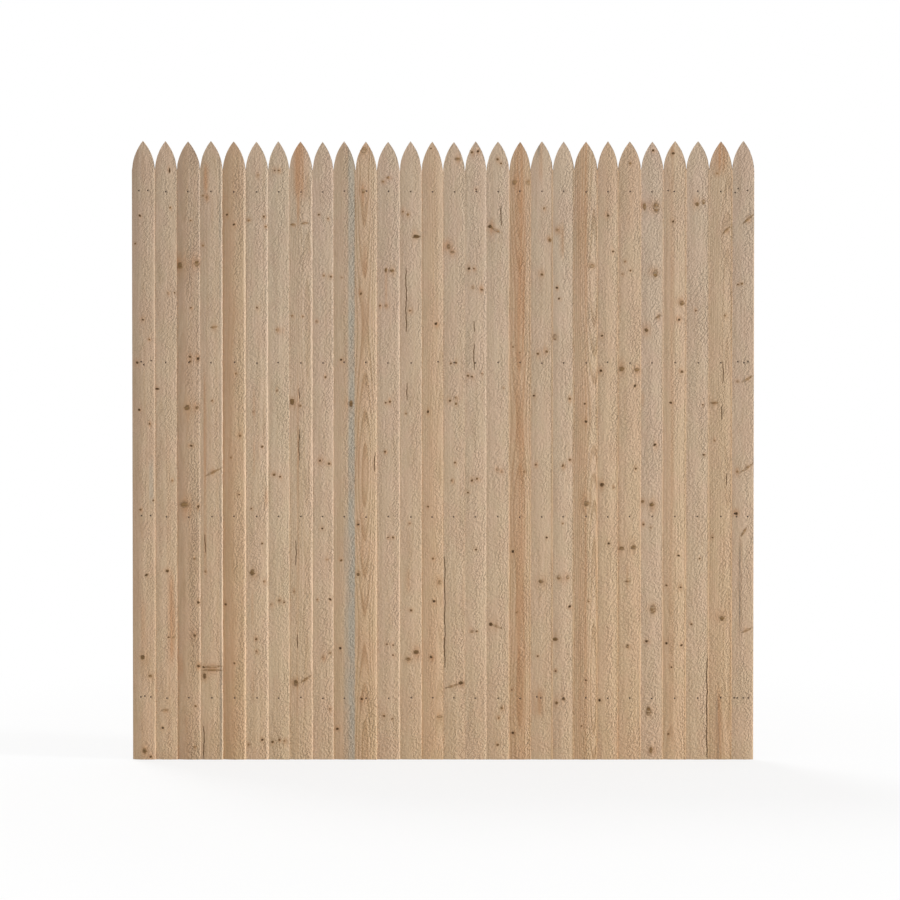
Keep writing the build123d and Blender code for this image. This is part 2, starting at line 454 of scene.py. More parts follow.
class Board:
    """Where the knots, checks, streaks and nails of one board lie.

    Places are in metres: across the board from its middle, and along it from its foot or left end.
    """

    # How far round a knot, a check and a nail the mesh is made finer
    knot_margin = 0.003
    knot_margin_along = 0.002
    check_margins = (0.0045, 0.008)
    nail_margins = (0.006, 0.007)

    # Value of the knot field far from any knot, and the widest knot that the grain swerves round
    no_knot = 6.0
    swerve_limit = 0.009

    def __init__(self, number, upright, middle, start):
        self.number = number
        self.upright = upright
        self.middle = middle
        self.start = start
        self.knots, self.smears, self.checks, self.streaks, self.nails = [], [], [], [], []
        self.dice = np.random.default_rng(1000 + number)

    def spread(self, spots):
        """Places across and along the board, for places in space."""
        across_axis, along_axis = (0, 2) if self.upright else (2, 0)
        return spots[:, across_axis] - self.middle, spots[:, along_axis] - self.start

    def add_knot(self, across, along, half_width, half_height, turn, dark):
        """Add a knot and the resin smear beside it."""
        self.knots.append((across, along, half_width, half_height, turn, dark))
        size = min(half_width, half_height)
        shift = self.dice.uniform(-0.9, 0.9) * size
        self.smears.append((across + shift, along - shift, size * self.dice.uniform(1.8, 3.2),
                            size * self.dice.uniform(2.0, 4.6), self.dice.uniform(0.35, 0.85)))

    def near_marks(self, across, along):
        """True where the mesh needs small faces."""
        near = np.zeros(len(across), bool)
        for x, z, half_width, half_height, *_ in self.knots:
            reach = 1.25 * max(half_width, half_height) + self.knot_margin
            near |= (np.abs(across - x) < reach) & (np.abs(along - z) < reach + self.knot_margin_along)
        beside, beyond = self.check_margins
        for x, low, high in self.checks:
            near |= (np.abs(across - x) < beside) & (along > low - beyond) & (along < high + beyond)
        beside, beyond = self.nail_margins
        for x, z in self.nails:
            near |= (np.abs(across - x) < beside) & (np.abs(along - z) < beyond)
        return near

    def knot_field(self, across, along):
        """Distance to the nearest knot, 1 at its rim, and that knot's darkness."""
        nearest = np.full(len(across), self.no_knot)
        dark = np.zeros(len(across))
        for x, z, half_width, half_height, turn, darkness in self.knots:
            dx, dz = across - x, along - z
            cos, sin = math.cos(turn), math.sin(turn)
            reach = np.hypot((dx * cos + dz * sin) / half_width, (dz * cos - dx * sin) / half_height)
            closer = reach < nearest
            nearest[closer] = reach[closer]
            dark[closer] = darkness
        return nearest, dark

    def grain_across(self, across, along):
        """Place across the board with the grain pushed aside round each knot."""
        shifted = across.copy()
        for x, z, half_width, half_height, *_ in self.knots:
            size = min(max(half_width, half_height), self.swerve_limit)
            dx, dz = across - x, along - z
            shifted -= 0.75 * dx * np.exp(-(dx / (1.9 * size)) ** 2 - (dz / (4.2 * size)) ** 2)
        return shifted

    def streak_field(self, kind, across, along):
        """Strength of one kind of streak, 0 to 1. The smears of resin are brown too."""
        field = np.zeros(len(across))
        for streak_kind, x, low, high, half_width, strength in self.streaks:
            if streak_kind != kind:
                continue
            fade = 0.012 + 0.12 * (high - low)
            ends = (smooth_step(low - fade, low + fade, along)
                    * (1 - smooth_step(high - fade, high + fade, along)))
            body = np.exp(-np.abs((across - x) / half_width) ** STREAK_SHARPNESS[kind])
            field = 1 - (1 - field) * (1 - strength * ends * body)
        for x, z, half_width, half_height, strength in self.smears if kind == "brown" else []:
            body = np.exp(-((across - x) / half_width) ** 2 - ((along - z) / half_height) ** 2)
            field = 1 - (1 - field) * (1 - strength * body)
        return field

    def check_field(self, across, along):
        """How deep in a check a place lies, 0 to 1."""
        field = np.zeros(len(across))
        half_width = sizes().check_width / 2
        for x, low, high in self.checks:
            drift = 0.0009 * np.sin((along - low) * 70 + x * 900) + 0.0004 * np.sin(along * 260)
            taper = np.clip(np.minimum(along - low, high - along) / 0.02, 0.0, 1.0) ** 0.5
            depth = 1 - np.abs(across - x - drift) / (half_width * (0.35 + 0.65 * taper))
            field = np.maximum(field, np.clip(depth, 0.0, 1.0) * (taper > 0))
        return field

    def nail_field(self, across, along):
        """Depth of the dents round the nails, 0 to 1."""
        field = np.zeros(len(across))
        for x, z in self.nails:
            away = np.hypot(across - x, along - z)
            field = np.maximum(field, 1 - smooth_step(0.0018, 0.0042, away))
        return field


def picket_board(name):
    """The marks of one picket, moved from the front view to its own face."""
    number = int(name[-2:])
    low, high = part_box(name)
    board = Board(number, True, (low[0] + high[0]) / 2, FOOT_Z)
    draw = board.dice.uniform
    marks = MARKS[number]

    def place(x, y):
        return (x - SHEET_CENTRE_X) * SHEET_UNIT - board.middle, (SHEET_FOOT_Y - y) * SHEET_UNIT

    for kind, (dark, scale) in SMALL_KNOTS.items():
        for x, y in marks.get(kind, []):
            size = sizes().pin_width / 2 * draw(0.85, 1.2) * scale
            turn = draw(-0.7, 0.9)
            board.add_knot(*place(x, y), size, size * draw(0.65, 0.95), turn, dark)
    for x, y, width, height, dark in marks.get("knots", []):
        board.add_knot(*place(x, y), half(width), half(height), 0.0, dark)
    for x0, y0, x1, y1 in marks.get("spikes", []):
        (a0, z0), (a1, z1) = place(x0, y0), place(x1, y1)
        half_length = math.hypot(a1 - a0, z1 - z0) / 2
        turn = math.atan2(z1 - z0, a1 - a0)
        board.add_knot((a0 + a1) / 2, (z0 + z1) / 2, half_length + 0.001, SPIKE_HALF_HEIGHT, turn,
                       SPIKE_DARKNESS)
    for x, y0, y1 in marks.get("checks", []):
        across, top = place(x, y0)
        board.checks.append((across, place(x, y1)[1], top))
    for kind in STREAK_SHARPNESS:
        for x, y0, y1, width, strength in marks.get(kind, []):
            across, top = place(x, y0)
            board.streaks.append((kind, across, place(x, y1)[1], top, half(width), strength))
    for rail in RAILS:
        rail_low, rail_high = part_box(rail)
        along = (rail_low[2] + rail_high[2]) / 2 - FOOT_Z
        if (rail, number) in NAIL_SPOTS:
            board.nails += [place(x, y) for x, y in NAIL_SPOTS[rail, number]]
        else:
            board.nails.append((draw(-NAIL_STRAY, NAIL_STRAY), along + draw(-NAIL_STRAY, NAIL_STRAY)))
    return board


def rail_board(index):
    """A rail's own knots and checks, placed by seed because none of them shows from the front."""
    low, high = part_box(RAILS[index])
    length = high[0] - low[0]
    board = Board(50 + index, False, (low[2] + high[2]) / 2, low[0])
    draw = board.dice.uniform
    for _ in range(7):
        size = draw(0.004, 0.011)
        board.add_knot(draw(-0.026, 0.026), draw(0.05, length - 0.05),
                       size, size * draw(0.8, 1.2), 0.0, draw(0.3, 0.9))
    for _ in range(3):
        start = draw(0.05, length - 0.4)
        board.checks.append((draw(-0.02, 0.02), start, start + draw(0.05, 0.2)))
    board.streaks.append(("brown", draw(-0.02, 0.02), -0.1, length + 0.1, 0.012, 0.3))
    return board


def refine(piece, board, cuts):
    """Divide the four-sided faces round the board's marks."""
    mesh = piece.data
    wanted = board.near_marks(*board.spread(read(mesh.polygons, "center", width=3)))
    wanted &= read(mesh.polygons, "loop_total", np.int32) == 4
    edit(piece, "FACE")
    bm = bmesh.from_edit_mesh(mesh)
    bm.faces.ensure_lookup_table()
    for index in np.nonzero(wanted)[0]:
        bm.faces[int(index)].select_set(True)
    bmesh.update_edit_mesh(mesh)
    bpy.ops.mesh.subdivide(number_cuts=cuts)
    bpy.ops.object.mode_set(mode="OBJECT")


def weigh(piece, name, weights):
    """A vertex group that holds the given weights."""
    group = piece.vertex_groups.new(name=name)
    for index in np.nonzero(weights > 0.004)[0]:
        group.add([int(index)], float(weights[index]), "REPLACE")


def displace(piece, name, strength, group, direction="NORMAL", texture=None, mid_level=0.0):
    """Push the surface by a weight, and by a texture if there is one, and apply it."""
    make_active(piece)
    modifier = piece.modifiers.new(name, "DISPLACE")
    modifier.strength = strength
    modifier.mid_level = mid_level
    modifier.direction = direction
    modifier.vertex_group = group
    if texture:
        modifier.texture = texture
        modifier.texture_coords = "UV"
        modifier.uv_layer = "relief"
    bpy.ops.object.modifier_apply(modifier=name)


def relief_texture(name, depth):
    texture = bpy.data.textures.get(name) or bpy.data.textures.new(name, "CLOUDS")
    texture.noise_basis = "IMPROVED_PERLIN"
    texture.noise_scale = 0.5
    texture.noise_depth = depth
    return texture


def write_uv(mesh, name, across, along):
    layer = mesh.uv_layers.get(name) or mesh.uv_layers.new(name=name)
    corners = read(mesh.loops, "vertex_index", np.int32)
    pairs = np.stack([across[corners], along[corners]], axis=1)
    layer.data.foreach_set("uv", pairs.astype(np.float32).ravel())


def write_field(mesh, name, values):
    """A value for each vertex, or one for all of them, that the wood's nodes read by name."""
    field = mesh.attributes.new(name, "FLOAT", "POINT")
    field.data.foreach_set("value", np.full(len(mesh.vertices), values, np.float32))


def set_edges(piece, number, across, along, depth):
    """Tuck a picket's left edge back, and let its sides wander together with its neighbours'.

    Returns how fully each vertex takes the sawn relief.
    """
    half_width = np.abs(across).max()
    front = depth < FACE_DEPTH
    share = across / half_width
    back = sizes().lean * (0.5 - share / 2) + LEFT_FALL.get(number, 0.0) * np.clip(-share, 0.0, 1.0) ** 2
    weigh(piece, "lean", np.where(front, back / back.max(), 0.0))
    displace(piece, "Lean", float(back.max()), "lean", direction="Y")
    left = LEFT_ROUGHNESS.get(number, PLAIN_LEFT_ROUGHNESS)
    rough = left + (1 - left) * smooth_step(-0.35, 0.25, share)
    write_field(piece.data, "rough", ROUGHNESS.get(number, 1.0) * rough)
    for side, seam in ((-1, number - 1), (1, number)):
        if 0 < seam < len(PICKETS):
            name = f"seam_{seam}"
            weigh(piece, name, smooth_step(half_width - SEAM_REACH, half_width, side * across))
            write_uv(piece.data, "relief", np.full(len(across), 3.7 * seam), along / SEAM_WAVE)
            displace(piece, "Seam", sizes().seam_wander, name, direction="X",
                     texture=relief_texture("seam_wander", 2), mid_level=0.5)
    at_side = np.abs(across) > half_width - SIDE_BAND
    return np.where(at_side, 0.0, np.where(front, 1.0, 0.5))


def roughen(piece, board, tone):
    """Give a board its grain map, marks and sawn relief."""
    mesh = piece.data
    spots = read(mesh.vertices, "co", width=3)
    depth = spots[:, 1] - spots[:, 1].min()
    across, along = board.spread(spots)
    half_width = np.abs(across).max()
    knot, dark = board.knot_field(across, along)
    front = smooth_step(*MARK_DEPTHS, depth) if board.upright else 1.0
    check = board.check_field(across, along) * front
    nail = board.nail_field(across, along) * front
    # The band at the right edge where painted highlight and shade are added to the tone
    painted_edge_light = smooth_step(half_width - PAINTED_EDGE_BAND[0], half_width - PAINTED_EDGE_BAND[1], across)

    pith = board.dice.uniform(-0.03, 0.03)
    own_length = 2.3 * board.number
    write_uv(mesh, "grain", board.grain_across(across, along) + depth - pith, along + own_length)
    fields = {
        "knot": knot, "knot_dark": dark, "check": check, "nail": nail,
        # Share of the picket's height, for a tint that is darker and greyer towards the top
        "weather": np.clip(1.15 * (along / CAD_HEIGHT if board.upright else 0.5), 0.0, 1.0),
        # The tone is the board's own tone, plus painted highlight and shade on its right edge
        "tone": tone + PAINTED_EDGE_LIGHT.get(board.number, 0.0) * painted_edge_light,
        "figure": FIGURE.get(board.number, PLAIN_FIGURE)}
    for kind in STREAK_SHARPNESS:
        fields[kind] = board.streak_field(kind, across, along)
    for name, values in fields.items():
        write_field(mesh, name, values)

    if board.upright:
        sawn = set_edges(piece, board.number, across, along, depth)
    else:
        sawn = np.ones(len(depth))
        write_field(mesh, "rough", RAIL_ROUGHNESS)
    weigh(piece, "sawn", sawn)
    weigh(piece, "checks", check)
    weigh(piece, "nails", nail)
    weigh(piece, "knots", np.exp(-(knot / 0.8) ** 2) * sawn)

    # The slow wandering of the saw, then the torn grain: size of the waves across and along, in metres
    for name, strength, texture, wave_across, wave_along in (
            ("Wander", sizes().wander, relief_texture("sawn_wander", 1), 0.040, 0.30),
            ("Tear", sizes().tear, relief_texture("torn_grain", 2), 0.045, 0.09)):
        write_uv(mesh, "relief", (across + depth) / wave_across, (along + own_length) / wave_along)
        displace(piece, name, strength, "sawn", texture=texture, mid_level=1.0)
    displace(piece, "Knots", sizes().knot_rise, "knots")
    displace(piece, "Checks", -sizes().check_depth, "checks")
    displace(piece, "Nail Dents", -sizes().nail_sink, "nails")
    mesh.uv_layers.remove(mesh.uv_layers["relief"])
    piece.vertex_groups.clear()
    make_active(piece)
    bpy.ops.object.shade_smooth_by_angle(angle=math.radians(40))


# Node trees

VECTOR, COLOUR, VALUE = "NodeSocketVector", "NodeSocketColor", "NodeSocketFloat"


class Tree:
    """Adds nodes and links them, by socket or by plain value."""

    def __init__(self, tree):
        self.tree = tree

    def put(self, target, value):
        if isinstance(value, bpy.types.NodeSocket):
            self.tree.links.new(value, target)
        else:
            target.default_value = value

    def node(self, kind, inputs=None, **settings):
        node = self.tree.nodes.new(kind)
        node.location = (200 * (len(self.tree.nodes) % 9), -160 * (len(self.tree.nodes) // 9))
        for key, value in settings.items():
            setattr(node, key, value)
        for key, value in (inputs or {}).items():
            self.put(node.inputs[key], value)
        return node

    def math(self, operation, first, second=0.5, clamp=False):
        node = self.node("ShaderNodeMath", {0: first, 1: second}, operation=operation, use_clamp=clamp)
        return node.outputs[0]

    def times(self, first, second, clamp=False):
        return self.math("MULTIPLY", first, second, clamp)

    def plus(self, first, second, clamp=False):
        return self.math("ADD", first, second, clamp)

    def ramp(self, value, low, high, to_low=0.0, to_high=1.0):
        inputs = {"Value": value, "From Min": low, "From Max": high, "To Min": to_low, "To Max": to_high}
        return self.node("ShaderNodeMapRange", inputs, interpolation_type="SMOOTHSTEP").outputs["Result"]

    def mix(self, factor, first, second, blend="MIX"):
        inputs = {"Factor": factor, 6: first, 7: second}
        return self.node("ShaderNodeMix", inputs, data_type="RGBA", blend_type=blend).outputs[2]

    def tint(self, colour, *tint):
        return self.mix(1.0, colour, (*tint, 1.0), "MULTIPLY")

    def noise(self, vector, across, along, detail=2.0):
        """Noise with the given number of features to a metre across and along the grain."""
        scaled = self.node("ShaderNodeVectorMath", {0: vector, 1: (across, along, 1.0)}, operation="MULTIPLY")
        inputs = {"Vector": scaled.outputs[0], "Scale": 1.0, "Detail": detail}
        return self.node("ShaderNodeTexNoise", inputs, noise_dimensions="2D").outputs["Fac"]

    def swing(self, *pattern):
        """The same noise, from -0.5 to 0.5."""
        return self.math("SUBTRACT", self.noise(*pattern), 0.5)

    def speckle(self, spot, scale):
        """Even noise in space."""
        inputs = {"Vector": spot, "Scale": scale, "Detail": 3.0}
        return self.node("ShaderNodeTexNoise", inputs).outputs["Fac"]

    def spot(self):
        return self.node("ShaderNodeTexCoord").outputs["Object"]


def new_group(name, inputs, outputs):
    """A shader node group with named sockets, given by their kind or by a plain value's default.

    Returns its tree helper, what it is given and what it gives out.
    """
    group = bpy.data.node_groups.new(name, "ShaderNodeTree")
    for socket_name, given in inputs.items():
        if isinstance(given, str):
            group.interface.new_socket(socket_name, in_out="INPUT", socket_type=given)
        else:
            socket = group.interface.new_socket(socket_name, in_out="INPUT", socket_type=VALUE)
            socket.default_value = given
    for socket_name, kind in outputs.items():
        group.interface.new_socket(socket_name, in_out="OUTPUT", socket_type=kind)
    tree = Tree(group)
    return tree, tree.node("NodeGroupInput").outputs, tree.node("NodeGroupOutput").inputs


def new_material(name):
    """A material, its tree helper and its surface shader."""
    material = bpy.data.materials.new(name)
    material.use_nodes = True
    return material, Tree(material.node_tree), material.node_tree.nodes["Principled BSDF"]


def spruce_figure_group():
    """Growth rings, long streaks and fibre of a flat-sawn spruce board."""
    tree, given, out = new_group(
        "Spruce Figure",
        {"Grain": VECTOR, "Wood": COLOUR, "Tone": 0.0, "Weather": 0.5, "Ring Width": 0.0048,
         "Ring Contrast": 0.3},
        {"Colour": COLOUR, "Height": VALUE})
    grain, wood = given["Grain"], given["Wood"]
    across = tree.node("ShaderNodeSeparateXYZ", {0: grain}).outputs[0]
    off_pith = tree.plus(across, tree.times(tree.swing(grain, 11.0, 1.6), 0.016))
    depth = tree.times(tree.noise(grain, 1.5, 1.1, 1.0), 0.06)
    radius = tree.math("SQRT", tree.plus(tree.times(off_pith, off_pith), tree.times(depth, depth)))
    ring = tree.math("FRACT", tree.math("DIVIDE", radius, given["Ring Width"]))
    late = tree.times(tree.ramp(ring, 0.35, 0.85), tree.ramp(ring, 1.0, 0.9))
    streak = tree.swing(grain, 95.0, 1.7, 3.0)
    blotch = tree.swing(grain, 24.0, 7.0, 3.0)
    fibre = tree.swing(grain, 620.0, 42.0)
    shade = tree.times(late, given["Ring Contrast"])
    for part, weight in ((streak, 0.34), (blotch, 0.26), (fibre, 0.4)):
        shade = tree.plus(shade, tree.times(part, weight))
    # The tone lightens or darkens the wood; on a picket's right edge it also holds painted highlight and
    # shade
    shade = tree.math("SUBTRACT", shade, tree.times(given["Tone"], 0.35))
    lighter, darker = tree.tint(wood, 1.17, 1.19, 1.23), tree.tint(wood, 0.68, 0.60, 0.50)
    colour = tree.mix(tree.ramp(shade, -0.55, 0.75), lighter, darker)
    rosy, olive = tree.tint(colour, 1.01, 0.99, 0.995), tree.tint(colour, 0.99, 1.005, 0.99)
    colour = tree.mix(tree.ramp(tree.noise(grain, 17.0, 9.0), 0.35, 0.65), rosy, olive)
    # Lighter and warmer towards the foot, darker and greyer towards the top
    height_tint = tree.mix(given["Weather"], (1.07, 1.04, 1.0, 1.0), (0.92, 0.94, 1.0, 1.0))
    tree.put(out["Colour"], tree.mix(1.0, colour, height_tint, "MULTIPLY"))
    tree.put(out["Height"], tree.plus(tree.times(fibre, 0.18), tree.times(late, 0.06)))


def sawn_surface_group():
    """Slanting saw marks and torn fuzz, as a height."""
    tree, given, out = new_group(
        "Sawn Surface", {"Grain": VECTOR, "Saw Marks": 0.6, "Fuzz": 0.8}, {"Height": VALUE})
    grain = given["Grain"]
    slanted = {"Vector": grain, "Rotation": (0.0, 0.0, math.radians(-55))}
    turned = tree.node("ShaderNodeMapping", slanted).outputs[0]
    crinkle = tree.times(tree.swing(turned, 125.0, 175.0, 1.0), 5.3)
    slant = tree.times(tree.swing(turned, 48.0, 75.0, 1.0), 1.6)
    patch = tree.ramp(tree.noise(grain, 48.0, 4.0), 0.36, 0.64, 0.4, 1.15)
    marks = tree.times(tree.times(tree.plus(crinkle, slant), patch), given["Saw Marks"])
    fuzz = tree.times(tree.swing(grain, 300.0, 170.0), given["Fuzz"])
    tree.put(out["Height"], tree.plus(marks, fuzz))


def board_marks_group():
    """Knots, checks, stains and nail dents laid over the figure."""
    tree, given, out = new_group(
        "Board Marks",
        {"Colour": COLOUR, "Grain": VECTOR, "Knot": Board.no_knot, "Knot Darkness": 0.5, "Check": 0.0,
         "Nail": 0.0, "Brown": 0.0, "Blue": 0.0, "Dark": 0.0, "Brown Colour": COLOUR, "Blue Colour": COLOUR,
         "Knot Colour": COLOUR, "Dead Colour": COLOUR},
        {"Colour": COLOUR, "Height": VALUE})
    grain, wood, darkness = given["Grain"], given["Colour"], given["Knot Darkness"]
    brown, blue, sound, dead = (given[f"{kind} Colour"] for kind in ("Brown", "Blue", "Knot", "Dead"))
    vein = tree.noise(grain, 130.0, 3.0, 3.0)
    patchy = tree.noise(grain, 40.0, 9.0, 3.0)
    colour = wood
    for kind, pattern, stain in (
            ("Brown", tree.ramp(vein, 0.15, 0.75, 0.45, 1.25), tree.mix(0.3, brown, wood)),
            ("Blue", tree.ramp(patchy, 0.25, 0.7, 0.7, 1.25), tree.mix(0.15, blue, wood)),
            # Dark lines: mostly painted shade of unmodelled cracks and of a shaded seam
            ("Dark", tree.ramp(patchy, 0.25, 0.7, 0.5, 1.2), tree.mix(0.5, dead, blue))):
        colour = tree.mix(tree.times(given[kind], pattern, clamp=True), colour, stain)

    ragged = tree.swing(grain, 260.0, 260.0)
    reach = tree.plus(given["Knot"], ragged)
    colour = tree.mix(tree.times(tree.ramp(reach, 1.9, 0.9), 0.22), colour, sound)
    core = tree.times(tree.ramp(reach, 1.1, 0.75), tree.ramp(darkness, 0.1, 0.5, 0.6, 1.0))
    rings = tree.ramp(tree.math("SINE", tree.times(reach, 17.0)), -1.0, 1.0, 0.0, 0.15)
    dark = tree.plus(tree.times(tree.math("POWER", darkness, 1.5), 0.85), rings)
    dark = tree.plus(dark, tree.times(ragged, 1.1), clamp=True)
    clear = tree.times(tree.ramp(tree.noise(grain, 150.0, 110.0), 0.42, 0.66),
                       tree.ramp(darkness, 0.2, 0.8, 0.6, 0.0))
    knot_wood = tree.mix(clear, tree.mix(dark, sound, dead), wood)
    colour = tree.mix(core, colour, knot_wood)
    rim = tree.times(tree.ramp(reach, 0.7, 0.95), tree.ramp(reach, 1.2, 1.0))
    colour = tree.mix(tree.times(rim, 0.35), colour, dead)
    # Painted shade in the checks: the colour darkens towards a check's deepest line, on top of its modelled
    # depth
    colour = tree.mix(tree.ramp(given["Check"], 0.0, 0.45), colour, tree.mix(0.7, sound, dead))
    dent = tree.times(tree.ramp(given["Nail"], 0.55, 1.0), 0.4)
    tree.put(out["Colour"], tree.mix(dent, colour, dead))
    tree.put(out["Height"], tree.times(core, 0.4))


def wood_material(name, wood, fuzz):
    """Sawn spruce of one colour: figure, marks and rough surface."""
    _, tree, shader = new_material(name)
    grain = tree.node("ShaderNodeUVMap", uv_map="grain").outputs["UV"]

    def group(group_name, inputs, fields):
        """A node group that reads the grain, the given inputs and the board's fields."""
        inputs["Grain"] = grain
        for key, field in fields.items():
            inputs[key] = tree.node("ShaderNodeAttribute", attribute_name=field).outputs["Fac"]
        node_tree = bpy.data.node_groups[group_name]
        return tree.node("ShaderNodeGroup", inputs, node_tree=node_tree).outputs

    figure = group("Spruce Figure", {"Wood": (*wood, 1.0)},
                   {"Tone": "tone", "Weather": "weather", "Ring Contrast": "figure"})
    sawn = group("Sawn Surface", {"Fuzz": fuzz}, {"Saw Marks": "rough"})
    stains = {"Brown": colours().brown, "Blue": colours().blue, "Knot": colours().knot,
              "Dead": colours().dead_knot}
    marks = group("Board Marks",
                  {"Colour": figure["Colour"],
                   **{f"{stain} Colour": (*colour, 1.0) for stain, colour in stains.items()}},
                  {"Knot": "knot", "Knot Darkness": "knot_dark", "Check": "check", "Nail": "nail",
                   "Brown": "brown", "Blue": "blue", "Dark": "dark"})
    tree.put(shader.inputs["Base Color"], marks["Colour"])
    height = tree.plus(tree.plus(figure["Height"], sawn["Height"]), marks["Height"])
    bump = tree.node("ShaderNodeBump", {"Height": height, "Strength": 1.0, "Distance": 0.001})
    tree.put(shader.inputs["Normal"], bump.outputs["Normal"])
    shader.inputs["Roughness"].default_value = 0.85
    shader.inputs["Specular IOR Level"].default_value = 0.25


def nail_material():
    """Dull steel with a little rust."""
    _, tree, shader = new_material("nail_steel")
    noise = tree.speckle(tree.spot(), 600.0)
    rust = tree.ramp(noise, 0.45, 0.7)
    steel = (*colours().nail, 1.0)
    tree.put(shader.inputs["Base Color"], tree.mix(rust, steel, (0.09, 0.04, 0.018, 1.0)))
    tree.put(shader.inputs["Metallic"], tree.ramp(rust, 0.0, 1.0, 0.2, 0.0))
    tree.put(shader.inputs["Roughness"], tree.ramp(noise, 0.2, 0.8, 0.6, 0.85))


# Operators

class FENCE_OT_wood(bpy.types.Operator):
    """Make the wood and nail finishes"""

    bl_idname = "fence.wood"
    bl_label = "Make Finishes"

    picket_fuzz = 0.5
    rail_fuzz = 0.4

    def execute(self, context):
        spruce_figure_group()
        sawn_surface_group()
        board_marks_group()
        for stock in ("pale", "rose", "honey", "grey"):
            wood_material(f"{stock}_spruce", getattr(colours(), stock), self.picket_fuzz)
        wood_material("rail_spruce", colours().pale, self.rail_fuzz)
        nail_material()
        return {"FINISHED"}


class FENCE_OT_pickets(bpy.types.Operator):
    """Model one sawn picket, then copy and fit it to every picket of the panel"""

    bl_idname = "fence.pickets"
    bl_label = "Make Pickets"

    # The picket that is copied
    width = 0.065
    thickness = 0.016
    crown_power = 1.7
    eased_columns = 3
    back_cuts = 5
    point_steps = 9
    mark_cuts = 3

    # How much lower the tips are in the panel's middle, and by how much neighbours differ, in metres
    middle_drop = 0.0018
    tip_step = 0.0008

    def crest(self, x):
        """Depth of the crowned face at a place across it."""
        return -self.thickness + sizes().crown_rise * abs(x / (self.width / 2)) ** self.crown_power

    def crown(self, index):
        """Place of a column of the face's grid: an eased edge, the crown, an eased edge."""
        columns = sizes().face_columns
        from_side = min(index, columns - index)
        left = -self.width / 2 + sizes().left_radius
        right = self.width / 2 - sizes().edge_radius
        if from_side < self.eased_columns:
            inner, side = (left, -1.0) if index < columns / 2 else (right, 1.0)
            radius = self.width / 2 - abs(inner)
            turn = math.radians(90) * from_side / self.eased_columns
            return (inner + side * radius * math.cos(turn),
                    self.crest(inner) + radius - radius * math.sin(turn))
        share = (index - self.eased_columns) / (columns - 2 * self.eased_columns)
        x = left + share * (right - left)
        return x, self.crest(x)

    def model_picket(self, length):
        half_width = self.width / 2
        columns = sizes().face_columns
        deselect_all()
        bpy.ops.mesh.primitive_grid_add(
            x_subdivisions=columns, y_subdivisions=round(length / sizes().row_length), size=1.0,
            rotation=(math.radians(90), 0, 0))
        picket = bpy.context.object
        picket.name = "picket_master"
        picket.scale = (self.width, length, 1.0)
        picket.location = (0, 0, length / 2)
        apply_place(picket)

        edit(picket, "VERT")
        for column in range(columns + 1):
            at = (column / columns - 0.5) * self.width
            x, y = self.crown(column)
            pick(picket, "verts", lambda co: abs(co.x - at) < NEAR and abs(co.y) < NEAR)
            bpy.ops.transform.translate(value=(x - at, y, 0))

        # The sides, the back, the ends and the worn back edges
        def at_back(co):
            return abs(abs(co.x) - half_width) < NEAR and abs(co.y) < NEAR

        bpy.ops.mesh.select_mode(type="EDGE")
        for column, side in ((0, -half_width), (columns, half_width)):
            pick(picket, "edges", lambda co: abs(co.x - side) < NEAR)
            to_back = {"value": (0, -self.crown(column)[1], 0)}
            bpy.ops.mesh.extrude_region_move(TRANSFORM_OT_translate=to_back)
        pick(picket, "edges", at_back)
        bpy.ops.mesh.bridge_edge_loops(number_cuts=self.back_cuts, interpolation="LINEAR")
        for end in (0.0, length):
            pick(picket, "edges", lambda co: abs(co.z - end) < NEAR)
            bpy.ops.mesh.edge_face_add()
        pick(picket, "edges", at_back)
        bpy.ops.mesh.bevel(offset=sizes().back_ease, segments=1)
        bpy.ops.mesh.select_all(action="SELECT")
        bpy.ops.mesh.normals_make_consistent(inside=False)

        # The point: flat cuts along two arcs that start upright at the sides and meet at the tip
        height = sizes().point_height
        radius = (height ** 2 + half_width ** 2) / (2 * half_width)
        turns = [math.asin(height / radius) * step / self.point_steps for step in range(self.point_steps + 1)]
        corners = [(half_width - radius + radius * math.cos(turn), length - height + radius * math.sin(turn))
                   for turn in turns]
        for side in (-1, 1):
            for (x0, z0), (x1, z1) in zip(corners, corners[1:]):
                bpy.ops.mesh.select_all(action="SELECT")
                bpy.ops.mesh.bisect(plane_co=(side * x0, 0, z0), plane_no=(side * (z1 - z0), 0, x0 - x1),
                                    use_fill=True, clear_outer=True, threshold=1e-6)
        bpy.ops.mesh.select_all(action="SELECT")
        bpy.ops.mesh.remove_doubles(threshold=NEAR)
        bpy.ops.mesh.normals_make_consistent(inside=False)
        bpy.ops.object.mode_set(mode="OBJECT")
        return picket

    def execute(self, context):
        low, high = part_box(PICKETS[0])
        master = self.model_picket(high[2] - low[2])
        for number, name in enumerate(PICKETS):
            low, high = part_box(name)
            left = low[0] if name == PICKETS[0] else (low[0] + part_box(PICKETS[number - 1])[1][0]) / 2
            right = high[0] if name == PICKETS[-1] else (high[0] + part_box(PICKETS[number + 1])[0][0]) / 2
            board = picket_board(name)
            stock, tone = STOCK[board.number]
            picket = copy_of(master, f"sawn_{name}")
            drop = (self.middle_drop * (1 - (board.middle / CAD_BOX[1][0]) ** 4)
                    + self.tip_step * (number % 3 - 1))
            height = 1 - max(drop, 0.0) / (high[2] - low[2])
            picket.scale = ((right - left) / self.width, (high[1] - low[1]) / self.thickness, height)
            picket.location = ((left + right) / 2, high[1], low[2])
            apply_place(picket)
            refine(picket, board, self.mark_cuts)
            roughen(picket, board, tone)
            picket.data.materials.append(bpy.data.materials[f"{stock}_spruce"])
            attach(picket, "root")
            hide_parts(name)
        bpy.data.objects.remove(master)
        return {"FINISHED"}


